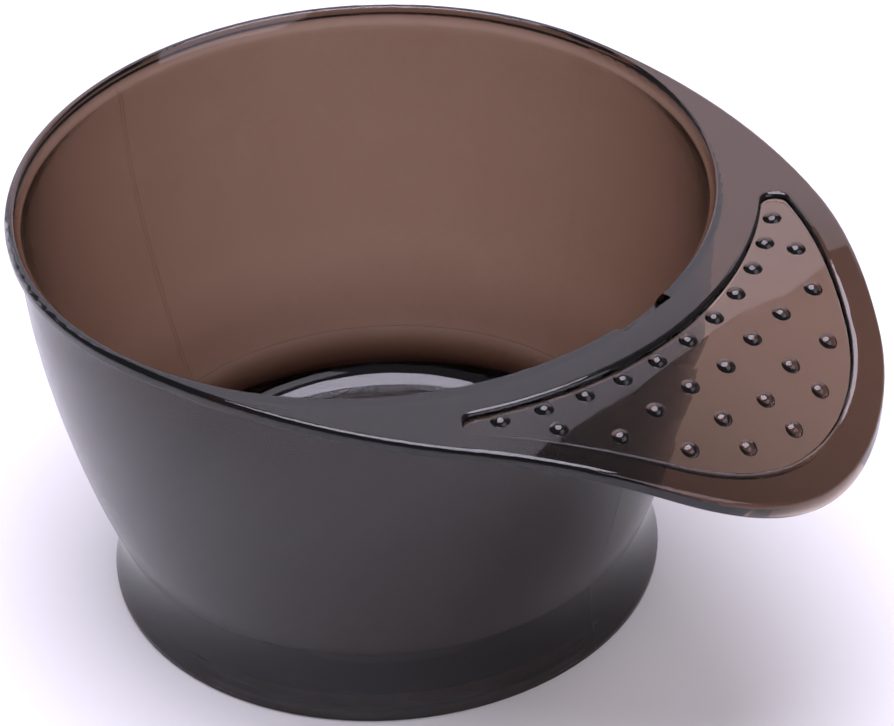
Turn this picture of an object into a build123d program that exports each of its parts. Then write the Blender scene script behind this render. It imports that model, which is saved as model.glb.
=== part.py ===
"""Hair colour mixing bowl with a drooping thumb wing: one moulding and a soft ring.

Millimetres. The origin is on the bowl's axis at the plane it stands on, +Z is up
and the wing points along +X. The bowl is turned about Z and the wing is symmetric in Y.
"""

import math
import os

from build123d import *

os.makedirs("parts", exist_ok=True)

# ---- rim ----
RIM_RADIUS = 65.0  # outside of the lip
RIM_TOP = 82.0  # height above the table
LIP_HEIGHT = 2.2  # lip and wing plate thickness
RIM_FLAT_RADIUS = 63.5  # inner edge of the flat top
RIM_INNER_FILLET = 0.5
FLARE_END = 77.5  # height where the opening reaches the full wall
FLARE_TURN = 2.4  # distance up the wall's line to the point the flare bends towards
EDGE_FILLET = 1.0  # upper outer edge of the lip and the wing
UNDER_FILLET = 0.3  # lower outer edge of the lip and the wing
ROOT_FILLET = 1.5  # under the lip and the wing, against the wall; it backs up the notch

# ---- bowl wall, outside face from the crease over the foot up to the lip ----
CREASE_RADIUS = 51.0
CREASE_HEIGHT = 15.4
CREASE_FILLET = 0.1
LOW_WALL = (54.9, 26.7)
MIDDLE_WALL = (58.6, 41.0)
SHOULDER = (61.5, 56.4)
WALL_TOP_RADIUS = 63.1
WALL = 1.7  # thickness at the rim
WALL_AT_CREASE = 1.9  # it thickens evenly on the way down, for draft

# ---- floor ----
FLOOR_TOP = 5.8
FLOOR_THICKNESS = 1.8
FLOOR_RADIUS = 46.0  # where the inside wall would meet the floor
FLOOR_FILLET = 6.8

# ---- flared foot, which carries on from the wall ----
FOOT_TOP_RADIUS = 50.85  # just inside the crease, so only a witness line shows
NECK = (50.3, 11.0)
FOOT_RADIUS = 52.0
FOOT_BOTTOM = 0.4  # the soft ring stands below the hard foot
FOOT_EDGE = 0.8  # upright edge at the bottom of the flare
FOOT_INNER_RADIUS = 48.2

# ---- wing ----
TIP_RADIUS = 39.0
TIP_CENTRE = 67.0
SIDE_RADIUS = 140.0  # long arcs from the rim to the tip
BEND_START = 66.0  # the wing is flat up to here, then bends down
BEND_RADIUS = 55.0  # top face
BEND_END = 62.0  # degrees of bend in the sheet the wing is cut from
SHEET_HALF_WIDTH = 75.0

# ---- grip panel, a step down in the wing ----
PANEL_BORDER = 6.0  # wing left around the panel
PANEL_INNER_RADIUS = 71.5  # bowl side of the panel, about the bowl's axis
PANEL_TIP_FILLET = 2.4
PANEL_RECESS = 1.1
PANEL_THICKNESS = 1.5
RECESS_EDGE_FILLET = 1.05  # nearly the whole step is rounded

# ---- domed studs, as distances from the bowl's axis along each spoke ----
SPOKE_PITCH = 6.14
SPOKES = {
    0: (73.7, 81.8, 90.2, 96.2),
    1: (73.7, 81.3, 88.9, 94.7),
    2: (73.7, 82.3, 91.1),
    3: (73.7, 84.7),
    4: (73.7, 79.3),
    5: (73.7,),
}
STUD_RADIUS = 1.7
STUD_HEIGHT = 1.0
STUD_ROOT = 0.4  # how deep the stud is rooted in the panel

# ---- wiping notch across the rim, on the wing side: a slope down to a small flat ----
WIPE_WIDTH = 13.0
WIPE_CHORD = 65.0  # distance of its upper edge from the bowl's axis
WIPE_SLOPE = 2.8  # plan width of the slope
WIPE_DEPTH = 3.1
WIPE_REACH = 8.0  # larger than the wall, so that the cut runs out inside the bowl

# ---- soft ring in a groove under the foot ----
GROOVE_OUTER = 51.0
GROOVE_INNER = 49.2
GROOVE_DEPTH = 2.0
RUBBER_GAP = 0.05
RUBBER_FILLET = 0.4

# ---- working allowances ----
CUT_MARGIN = 1.0  # how far a cut runs past the face it opens
TOLERANCE = 0.01  # for picking out faces and edges by where they lie

# ---- derived ----
LIP_BOTTOM = RIM_TOP - LIP_HEIGHT
FLOOR_BOTTOM = FLOOR_TOP - FLOOR_THICKNESS
PANEL_BOTTOM = PANEL_RECESS + PANEL_THICKNESS  # depth under the top face of the wing
GROOVE_TOP = FOOT_BOTTOM + GROOVE_DEPTH
GROOVE_MIDDLE = (GROOVE_OUTER + GROOVE_INNER) / 2
GROOVE_WIDTH = GROOVE_OUTER - GROOVE_INNER
DOME_RADIUS = (STUD_RADIUS**2 + STUD_HEIGHT**2) / (2 * STUD_HEIGHT)


def wall_inside(point):
    """Point of the inside face level with a point of the outside face."""
    radius, height = point
    way_down = (LIP_BOTTOM - height) / (LIP_BOTTOM - CREASE_HEIGHT)
    return (radius - WALL - (WALL_AT_CREASE - WALL) * way_down, height)


def wing_plan():
    """Plan of the wing: a long arc from the rim to the round tip, and the same mirrored."""
    to_rim = SIDE_RADIUS - RIM_RADIUS
    to_tip = SIDE_RADIUS - TIP_RADIUS
    side_x = (to_rim**2 - to_tip**2 + TIP_CENTRE**2) / (2 * TIP_CENTRE)
    side_centre = Vector(side_x, -math.sqrt(to_rim**2 - side_x**2))
    tip_centre = Vector(TIP_CENTRE, 0)
    rim_joint = side_centre * (-RIM_RADIUS / to_rim)
    tip_joint = tip_centre + (tip_centre - side_centre) * (TIP_RADIUS / to_tip)
    with BuildSketch() as plan:
        with BuildLine():
            TangentArc(rim_joint, tip_joint, tangent=(rim_joint.Y, -rim_joint.X))
            Line((rim_joint.X, 0), rim_joint)
            mirror(about=Plane.XZ)
            ThreePointArc(
                tip_joint, (TIP_CENTRE + TIP_RADIUS, 0), (tip_joint.X, -tip_joint.Y)
            )
        make_face()
    return plan.sketch


def panel_plan():
    """Plan of the grip panel."""
    with BuildSketch() as plan:
        add(wing_plan())
        offset(amount=-PANEL_BORDER)
        Circle(PANEL_INNER_RADIUS, mode=Mode.SUBTRACT)
        fillet(plan.vertices().sort_by(Axis.X)[:2], PANEL_TIP_FILLET)
    return plan.sketch


def sheet_section(upper, lower):
    """Section of the bent wing sheet between two depths under its top face."""
    bend_centre = Vector(BEND_START, RIM_TOP - BEND_RADIUS)
    end = Vector(math.sin(math.radians(BEND_END)), math.cos(math.radians(BEND_END)))
    with BuildSketch(Plane.XZ) as section:
        with BuildLine():
            Polyline(
                (BEND_START, RIM_TOP - lower),
                (0, RIM_TOP - lower),
                (0, RIM_TOP - upper),
                (BEND_START, RIM_TOP - upper),
            )
            CenterArc(bend_centre, BEND_RADIUS - upper, 90 - BEND_END, BEND_END)
            Line(
                bend_centre + end * (BEND_RADIUS - upper),
                bend_centre + end * (BEND_RADIUS - lower),
            )
            CenterArc(bend_centre, BEND_RADIUS - lower, 90 - BEND_END, BEND_END)
        make_face()
    return section.sketch


def sheet(plan, upper, lower):
    """The part of the bent wing sheet over a plan, between two depths."""
    with BuildPart() as piece:
        extrude(sheet_section(upper, lower), amount=SHEET_HALF_WIDTH, both=True)
        extrude(plan, amount=RIM_TOP + CUT_MARGIN, mode=Mode.INTERSECT)
    return piece.part


def on_panel(distance, angle):
    """Plane on the face of the panel, at a distance from the bowl's axis."""
    x = distance * math.cos(math.radians(angle))
    y = distance * math.sin(math.radians(angle))
    face_radius = BEND_RADIUS - PANEL_RECESS
    tilt = math.asin(max(0.0, x - BEND_START) / face_radius)
    z = RIM_TOP - BEND_RADIUS + face_radius * math.cos(tilt)
    return Plane(origin=(x, y, z), z_dir=(math.sin(tilt), 0, math.cos(tilt)))


def sheet_depth(point):
    """Depth of a point under the top face of the bent wing sheet."""
    if point.X < BEND_START:
        return RIM_TOP - point.Z
    bend_centre_z = RIM_TOP - BEND_RADIUS
    return BEND_RADIUS - math.hypot(point.X - BEND_START, point.Z - bend_centre_z)


def side_edges(part, depth, lowest):
    """Edges at a depth round the upright faces that lie between the top face and the lowest depth."""
    chosen = ShapeList()
    for face in part.faces():
        middle = face.position_at(0.5, 0.5)
        is_upright = abs(face.normal_at(middle).Z) < TOLERANCE
        if not is_upright or not 0 < sheet_depth(middle) < lowest:
            continue
        for edge in face.edges():
            point = edge @ 0.5
            is_outside = math.hypot(point.X, point.Y) > RIM_RADIUS - TOLERANCE
            if is_outside and abs(sheet_depth(point) - depth) < TOLERANCE:
                chosen.append(edge)
    return chosen


def corner(sketch, point):
    """The vertex of a section nearest to a point."""
    return sketch.vertices().sort_by_distance(point)[0]


# ---- bodies cut from the bent wing sheet ----
wing_sheet = sheet(wing_plan(), 0, LIP_HEIGHT)
panel_recess = sheet(panel_plan(), -CUT_MARGIN, PANEL_RECESS)
panel_pad = sheet(panel_plan(), LIP_HEIGHT, PANEL_BOTTOM)


# ---- one domed stud, standing on the XY plane with its root below it ----
dome_edge_angle = math.degrees(math.acos(STUD_RADIUS / DOME_RADIUS))
with BuildPart() as stud:
    with BuildSketch(Plane.XZ):
        with BuildLine():
            CenterArc(
                (0, STUD_HEIGHT - DOME_RADIUS),
                DOME_RADIUS,
                dome_edge_angle,
                90 - dome_edge_angle,
            )
            Polyline(
                (0, STUD_HEIGHT),
                (0, -STUD_ROOT),
                (STUD_RADIUS, -STUD_ROOT),
                (STUD_RADIUS, 0),
            )
        make_face()
    revolve(axis=Axis.Z)


# ---- bowl shell: floor, wall, rim, foot and wing in one moulding ----
with BuildPart() as bowl_shell:
    add(wing_sheet)
    Cylinder(
        RIM_FLAT_RADIUS + RIM_INNER_FILLET,
        RIM_TOP + CUT_MARGIN,
        align=(Align.CENTER, Align.CENTER, Align.MIN),
        mode=Mode.SUBTRACT,
    )
    with BuildSketch(Plane.XZ) as wall:
        with BuildLine():
            Spline(
                (CREASE_RADIUS, CREASE_HEIGHT),
                LOW_WALL,
                MIDDLE_WALL,
                SHOULDER,
                (WALL_TOP_RADIUS, LIP_BOTTOM),
            )
            Polyline(
                (WALL_TOP_RADIUS, LIP_BOTTOM),
                (RIM_RADIUS, LIP_BOTTOM),
                (RIM_RADIUS, RIM_TOP),
                (RIM_FLAT_RADIUS, RIM_TOP),
            )
            inside = Spline(
                (WALL_TOP_RADIUS - WALL, FLARE_END),
                wall_inside(SHOULDER),
                wall_inside(MIDDLE_WALL),
                wall_inside(LOW_WALL),
                wall_inside((CREASE_RADIUS, CREASE_HEIGHT)),
                (FLOOR_RADIUS, FLOOR_TOP),
            )
            Bezier((RIM_FLAT_RADIUS, RIM_TOP), inside @ 0 - (inside % 0) * FLARE_TURN, inside @ 0)
            Polyline(
                (FLOOR_RADIUS, FLOOR_TOP),
                (0, FLOOR_TOP),
                (0, FLOOR_BOTTOM),
                (FOOT_INNER_RADIUS, FLOOR_BOTTOM),
                (FOOT_INNER_RADIUS, FOOT_BOTTOM),
                (GROOVE_INNER, FOOT_BOTTOM),
                (GROOVE_INNER, GROOVE_TOP),
                (GROOVE_OUTER, GROOVE_TOP),
                (GROOVE_OUTER, FOOT_BOTTOM),
                (FOOT_RADIUS, FOOT_BOTTOM),
                (FOOT_RADIUS, FOOT_BOTTOM + FOOT_EDGE),
            )
            ThreePointArc(
                (FOOT_RADIUS, FOOT_BOTTOM + FOOT_EDGE), NECK, (FOOT_TOP_RADIUS, CREASE_HEIGHT)
            )
            Line((FOOT_TOP_RADIUS, CREASE_HEIGHT), (CREASE_RADIUS, CREASE_HEIGHT))
        make_face()
        fillet(corner(wall, (RIM_FLAT_RADIUS, RIM_TOP)), RIM_INNER_FILLET)
        fillet(corner(wall, (WALL_TOP_RADIUS, LIP_BOTTOM)), ROOT_FILLET)
        fillet(corner(wall, (FLOOR_RADIUS, FLOOR_TOP)), FLOOR_FILLET)
        fillet(corner(wall, (CREASE_RADIUS, CREASE_HEIGHT)), CREASE_FILLET)
    revolve(axis=Axis.Z)
    fillet(side_edges(bowl_shell.part, 0, LIP_HEIGHT), EDGE_FILLET)
    fillet(side_edges(bowl_shell.part, LIP_HEIGHT, LIP_HEIGHT), UNDER_FILLET)

    # grip panel, stepped down below the face of the wing
    add(panel_pad)
    add(panel_recess, mode=Mode.SUBTRACT)
    fillet(side_edges(bowl_shell.part, 0, PANEL_RECESS), RECESS_EDGE_FILLET)
    for spoke, distances in SPOKES.items():
        for angle in {spoke * SPOKE_PITCH, -spoke * SPOKE_PITCH}:
            with Locations(*[on_panel(distance, angle) for distance in distances]):
                add(stud.part)

    # notch across the rim for wiping the brush
    with BuildSketch(Plane.XZ):
        with BuildLine():
            Polyline(
                (WIPE_CHORD, RIM_TOP),
                (WIPE_CHORD, RIM_TOP + CUT_MARGIN),
                (WIPE_CHORD - WIPE_REACH, RIM_TOP + CUT_MARGIN),
                (WIPE_CHORD - WIPE_REACH, RIM_TOP - WIPE_DEPTH),
                (WIPE_CHORD - WIPE_SLOPE, RIM_TOP - WIPE_DEPTH),
                close=True,
            )
        make_face()
    extrude(amount=WIPE_WIDTH / 2, both=True, mode=Mode.SUBTRACT)
bowl_shell.part.label = "bowl_shell"
export_step(bowl_shell.part, "parts/bowl_shell.step")


# ---- soft ring: in the groove of the foot, which the bowl stands on ----
with BuildPart() as non_slip_ring:
    with BuildSketch(Plane.XZ) as rubber:
        with Locations((GROOVE_MIDDLE, 0)):
            Rectangle(
                GROOVE_WIDTH - 2 * RUBBER_GAP,
                GROOVE_TOP - RUBBER_GAP,
                align=(Align.CENTER, Align.MIN),
            )
        fillet(rubber.vertices().sort_by(Axis.Y)[:2], RUBBER_FILLET)
    revolve(axis=Axis.Z)
non_slip_ring.part.label = "non_slip_ring"
export_step(non_slip_ring.part, "parts/non_slip_ring.step")
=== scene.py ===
"""Hair colour mixing bowl: smoked plastic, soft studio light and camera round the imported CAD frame.

Metres. +Z is up the bowl's axis and +X points to the tip of the wing, as in the CAD.
"""

import math

import bpy
from mathutils import Matrix, Vector

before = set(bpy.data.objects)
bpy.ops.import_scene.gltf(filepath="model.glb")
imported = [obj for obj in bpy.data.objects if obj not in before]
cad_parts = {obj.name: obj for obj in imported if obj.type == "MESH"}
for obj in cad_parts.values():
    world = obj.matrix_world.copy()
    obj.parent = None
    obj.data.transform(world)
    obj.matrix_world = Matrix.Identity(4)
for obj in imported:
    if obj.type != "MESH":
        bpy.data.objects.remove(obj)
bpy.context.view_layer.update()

MM = 0.001

# ---- where the shell changes finish ----
LIP_RADIUS = 63.2 * MM  # the satin wall is inside this radius, the polished lip and wing outside it
LIP_BOTTOM = 79.8 * MM
CREASE_HEIGHT = 15.4 * MM  # the polished foot is below this
FOOT_FACE_RADIUS = 49.8 * MM  # and outside this radius, so the inside face keeps its own finish
FLOOR_FINISH_TOP = 10.4 * MM  # the polished floor inside the bowl is below this
FLOOR_EDGE = 46.0 * MM
PARTING_HALF_WIDTH = 0.24 * MM  # lines left by the mould's side slides
PARTING_STRENGTH = 0.8
SIDE_PARTING = 0.38  # the line on the +Y side, as a share of the other two

# ---- smoked plastic ----
PLASTIC_IOR = 1.49
SMOKE_COLOUR = (0.40, 0.245, 0.13)  # what the absorbing dye lets through
SMOKE_DENSITY = 1700.0
PALE_TINT = (1.0, 1.0, 1.0, 1.0)
DEEP_TINT = (0.91, 0.88, 0.86, 1.0)
PARTING_TINT = (0.55, 0.50, 0.48, 1.0)
SATIN_ROUGHNESS = (0.19, 0.25)
POLISH_ROUGHNESS = (0.03, 0.06)
MOTTLE_SIZE = 14 * MM
WAVE_SIZE = 9 * MM
WAVE_DEPTH = 0.015 * MM
SCUFF_SIZE = 1.6 * MM
GRAIN_SIZE = 0.9 * MM
PARTING_DEPTH = 0.02 * MM

# ---- soft ring ----
RUBBER_IOR = 1.52
RUBBER_COLOUR = (0.012, 0.012, 0.013, 1.0)
DUST_COLOUR = (0.035, 0.034, 0.035, 1.0)
RUBBER_ROUGHNESS = (0.62, 0.85)
RUBBER_GRAIN_SIZE = 0.35 * MM
RUBBER_GRAIN_DEPTH = 0.03 * MM
DUST_SIZE = 8 * MM

# ---- camera ----
CAMERA_PLACE = (0.41548, -0.43824, 0.48114)
CAMERA_AIM = (0.00874, 0.01014, 0.041)
CAMERA_ROLL = -2.9514  # degrees
CAMERA_LENS = 161.5
SENSOR_WIDTH = 36.0
CAMERA_NEAR = 0.01

# ---- studio ----
FLOOR_SIZE = 12.0
FLOOR_COLOUR = (0.67, 0.67, 0.68)
FLOOR_CLOUD = 1.03  # how much paler its faint clouds are
FLOOR_CLOUD_SIZE = 0.5
FLOOR_ROUGHNESS = 0.7
FLOOR_GLOW = 0.10  # the floor is a softly lit table
WORLD_COLOUR = (0.26, 0.25, 0.29)
LIGHT_COLOUR = (1.0, 0.94, 1.12)
OVERHEAD_HEIGHT = 0.90
OVERHEAD_SIZE = 0.86
OVERHEAD_RADIANCE = 7.6
# soft lights round the bowl: azimuth from +X and elevation in degrees, distance, width, height, radiance
BACK_LIGHT = (133.5, 29.4, 3.0, 5.2, 2.30, 1.1)
SIDE_LIGHT = (0.0, 38.0, 3.0, 2.2, 1.7, 1.8)


class Graph:
    """A material's node tree, with short calls for the nodes used here."""

    def __init__(self, name):
        self.material = bpy.data.materials.new(name)
        self.material.use_nodes = True
        self.tree = self.material.node_tree
        self.tree.nodes.clear()
        self.output = self.tree.nodes.new("ShaderNodeOutputMaterial")

    def add(self, kind, sockets=None, **settings):
        """Adds a node, sets its settings, and sets or links its sockets."""
        made = self.tree.nodes.new("ShaderNode" + kind)
        for name, value in settings.items():
            setattr(made, name, value)
        for name, value in (sockets or {}).items():
            self.put(made.inputs[name], value)
        return made

    def put(self, socket, value):
        """Links a socket to another, or sets it to a value."""
        if isinstance(value, bpy.types.NodeSocket):
            self.tree.links.new(value, socket)
        else:
            socket.default_value = value

    def math(self, operation, first, second=0.0, third=0.0):
        made = self.add("Math", {0: first, 1: second, 2: third}, operation=operation)
        return made.outputs[0]

    def between(self, value, low, high, out_low=0.0, out_high=1.0):
        """Runs smoothly from out_low to out_high as the value goes from low to high."""
        made = self.add(
            "MapRange",
            {"Value": value, "From Min": low, "From Max": high, "To Min": out_low, "To Max": out_high},
            interpolation_type="SMOOTHSTEP",
        )
        return made.outputs[0]

    def noise(self, vector, size, detail=3.0, roughness=0.5):
        """Noise from 0 to 1 whose blotches are about the given size in metres."""
        made = self.add(
            "TexNoise",
            {"Vector": vector, "Scale": 1.0 / size, "Detail": detail, "Roughness": roughness},
        )
        return made.outputs["Fac"]

    def colour_mix(self, factor, first, second):
        made = self.add("Mix", {"Factor": factor}, data_type="RGBA")
        self.put(made.inputs[6], first)
        self.put(made.inputs[7], second)
        return made.outputs[2]

    def bump(self, height, depth, normal=None):
        """Bump of a given depth in metres."""
        made = self.add("Bump", {"Height": height, "Distance": depth, "Strength": 1.0})
        if normal is not None:
            self.put(made.inputs["Normal"], normal)
        return made.outputs[0]


def place_of(graph):
    """The point on the object, and its parts: x, y, height and distance from the axis."""
    point = graph.add("TexCoord").outputs["Object"]
    parts = graph.add("SeparateXYZ", {0: point})
    x, y, height = parts.outputs
    squares = graph.math("ADD", graph.math("MULTIPLY", x, x), graph.math("MULTIPLY", y, y))
    return point, x, y, height, graph.math("SQRT", squares)


def smoked_plastic():
    """Smoked see-through plastic, darker where it is thicker: satin wall, polished wing, lip and foot."""
    graph = Graph("shell_smoke_plastic")
    point, x, y, height, radius = place_of(graph)

    inside_rim = graph.between(radius, LIP_RADIUS, LIP_RADIUS + 0.8 * MM, 1.0, 0.0)
    below_lip = graph.between(height, LIP_BOTTOM - 1.0 * MM, LIP_BOTTOM, 1.0, 0.0)
    above_floor = graph.between(height, FLOOR_FINISH_TOP - 0.6 * MM, FLOOR_FINISH_TOP)
    below_crease = graph.between(height, CREASE_HEIGHT - 0.2 * MM, CREASE_HEIGHT, 1.0, 0.0)
    beyond_wall = graph.between(radius, FOOT_FACE_RADIUS - 0.2 * MM, FOOT_FACE_RADIUS)
    off_foot = graph.math("SUBTRACT", 1.0, graph.math("MULTIPLY", below_crease, beyond_wall))
    wall = graph.math(
        "MULTIPLY",
        graph.math("MULTIPLY", inside_rim, below_lip),
        graph.math("MULTIPLY", above_floor, off_foot),
    )

    mottle = graph.noise(point, MOTTLE_SIZE, 4.0, 0.6)
    grain = graph.noise(point, GRAIN_SIZE, 2.0)
    wave = graph.noise(point, WAVE_SIZE, 2.0)
    scuff = graph.noise(point, SCUFF_SIZE, 6.0, 0.7)

    # hairlines where the mould's side slides meet: under the wing, opposite it and on the +Y side
    from_y_line = graph.math("ADD", graph.math("ABSOLUTE", x), graph.between(y, -1.0 * MM, 0.0, 1.0, 0.0))
    end_lines = graph.between(graph.math("ABSOLUTE", y), 0.0, PARTING_HALF_WIDTH, 1.0, 0.0)
    side_line = graph.between(from_y_line, 0.0, PARTING_HALF_WIDTH, SIDE_PARTING, 0.0)
    beyond_floor = graph.between(radius, FLOOR_EDGE, FLOOR_EDGE + 1.0 * MM)
    line = graph.math(
        "MULTIPLY",
        graph.math("MULTIPLY", graph.math("MAXIMUM", end_lines, side_line), beyond_floor),
        graph.math("MULTIPLY", inside_rim, below_lip),
    )

    tint = graph.colour_mix(mottle, DEEP_TINT, PALE_TINT)
    colour = graph.colour_mix(graph.math("MULTIPLY", line, PARTING_STRENGTH), tint, PARTING_TINT)
    satin = graph.between(grain, 0.3, 0.7, *SATIN_ROUGHNESS)
    polish = graph.between(scuff, 0.35, 0.75, *POLISH_ROUGHNESS)
    roughness = graph.math(
        "ADD",
        graph.math("MULTIPLY", satin, wall),
        graph.math("MULTIPLY", polish, graph.math("SUBTRACT", 1.0, wall)),
    )
    shader = graph.add(
        "BsdfPrincipled",
        {
            "Base Color": colour,
            "Roughness": roughness,
            "Normal": graph.bump(line, PARTING_DEPTH, graph.bump(wave, WAVE_DEPTH)),
            "Transmission Weight": 1.0,
            "IOR": PLASTIC_IOR,
        },
    )
    dye = graph.add("VolumeAbsorption", {"Color": (*SMOKE_COLOUR, 1.0), "Density": SMOKE_DENSITY})
    graph.tree.links.new(shader.outputs[0], graph.output.inputs["Surface"])
    graph.tree.links.new(dye.outputs[0], graph.output.inputs["Volume"])
    return graph.material


def rubber():
    """Matt black rubber with a fine grain and dusty highlights."""
    graph = Graph("soft_ring_rubber")
    point = graph.add("TexCoord").outputs["Object"]
    grain = graph.noise(point, RUBBER_GRAIN_SIZE, 3.0, 0.6)
    dust = graph.noise(point, DUST_SIZE, 4.0, 0.6)
    colour = graph.colour_mix(dust, RUBBER_COLOUR, DUST_COLOUR)
    shader = graph.add(
        "BsdfPrincipled",
        {
            "Base Color": colour,
            "Roughness": graph.between(grain, 0.3, 0.7, *RUBBER_ROUGHNESS),
            "Normal": graph.bump(grain, RUBBER_GRAIN_DEPTH),
            "IOR": RUBBER_IOR,
        },
    )
    graph.tree.links.new(shader.outputs[0], graph.output.inputs["Surface"])
    return graph.material


def paint(node, material):
    """Gives a CAD node one material."""
    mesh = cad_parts[node].data
    mesh.materials.clear()
    mesh.materials.append(material)


paint("bowl_shell", smoked_plastic())
paint("non_slip_ring", rubber())


# ---- floor ----
def make_floor():
    """A plain pale table with faint clouds, softly lit."""
    graph = Graph("studio_floor")
    point = graph.add("TexCoord").outputs["Object"]
    cloud = graph.noise(point, FLOOR_CLOUD_SIZE, 2.0)
    paler = tuple(channel * FLOOR_CLOUD for channel in FLOOR_COLOUR)
    shade = graph.colour_mix(cloud, (*FLOOR_COLOUR, 1.0), (*paler, 1.0))
    shader = graph.add(
        "BsdfPrincipled",
        {
            "Base Color": shade,
            "Roughness": FLOOR_ROUGHNESS,
            "Emission Color": (1.0, 1.0, 1.0, 1.0),
            "Emission Strength": FLOOR_GLOW,
        },
    )
    graph.tree.links.new(shader.outputs[0], graph.output.inputs["Surface"])
    half = FLOOR_SIZE / 2
    mesh = bpy.data.meshes.new("studio_floor")
    corners = [(-half, -half, 0), (half, -half, 0), (half, half, 0), (-half, half, 0)]
    mesh.from_pydata(corners, [], [(0, 1, 2, 3)])
    mesh.materials.append(graph.material)
    floor = bpy.data.objects.new("studio_floor", mesh)
    bpy.context.scene.collection.objects.link(floor)


def soft_light(name, shape, place, width, height, radiance):
    """A rectangular or round soft light facing the middle of the bowl."""
    data = bpy.data.lights.new(name, "AREA")
    data.shape = shape
    data.size = width
    if shape == "RECTANGLE":
        data.size_y = height
        area = width * height
    else:
        area = math.pi * (width / 2) ** 2
    data.energy = radiance * math.pi * area
    data.color = LIGHT_COLOUR
    light = bpy.data.objects.new(name, data)
    light.location = Vector(place)
    aim = -light.location
    light.rotation_mode = "QUATERNION"
    light.rotation_quaternion = aim.to_track_quat("-Z", "Y")
    light.visible_camera = False
    bpy.context.scene.collection.objects.link(light)


def on_sphere(azimuth, elevation, distance):
    """The point at a distance from the origin, in a direction given in degrees."""
    a, e = math.radians(azimuth), math.radians(elevation)
    return Vector((math.cos(a) * math.cos(e), math.sin(a) * math.cos(e), math.sin(e))) * distance


def light_round(name, azimuth, elevation, distance, width, height, radiance):
    """A rectangular soft light placed round the bowl."""
    soft_light(name, "RECTANGLE", on_sphere(azimuth, elevation, distance), width, height, radiance)


def make_world():
    """A dim, even room."""
    world = bpy.data.worlds.new("studio")
    world.use_nodes = True
    world.node_tree.nodes["Background"].inputs["Color"].default_value = (*WORLD_COLOUR, 1.0)
    bpy.context.scene.world = world


def make_camera():
    """The camera at the photograph's place, aim and roll."""
    data = bpy.data.cameras.new("camera")
    data.lens = CAMERA_LENS
    data.sensor_width = SENSOR_WIDTH
    data.clip_start = CAMERA_NEAR
    camera = bpy.data.objects.new("camera", data)
    ahead = (Vector(CAMERA_AIM) - Vector(CAMERA_PLACE)).normalized()
    turn = ahead.to_track_quat("-Z", "Y").to_matrix().to_4x4()
    roll = Matrix.Rotation(math.radians(CAMERA_ROLL), 4, "Z")
    camera.matrix_world = Matrix.Translation(CAMERA_PLACE) @ turn @ roll
    bpy.context.scene.collection.objects.link(camera)
    bpy.context.scene.camera = camera


make_floor()
make_world()
soft_light("overhead", "DISK", (0, 0, OVERHEAD_HEIGHT), OVERHEAD_SIZE, OVERHEAD_SIZE, OVERHEAD_RADIANCE)
light_round("back", *BACK_LIGHT)
light_round("side", *SIDE_LIGHT)
make_camera()
bpy.context.scene.view_settings.view_transform = "Standard"
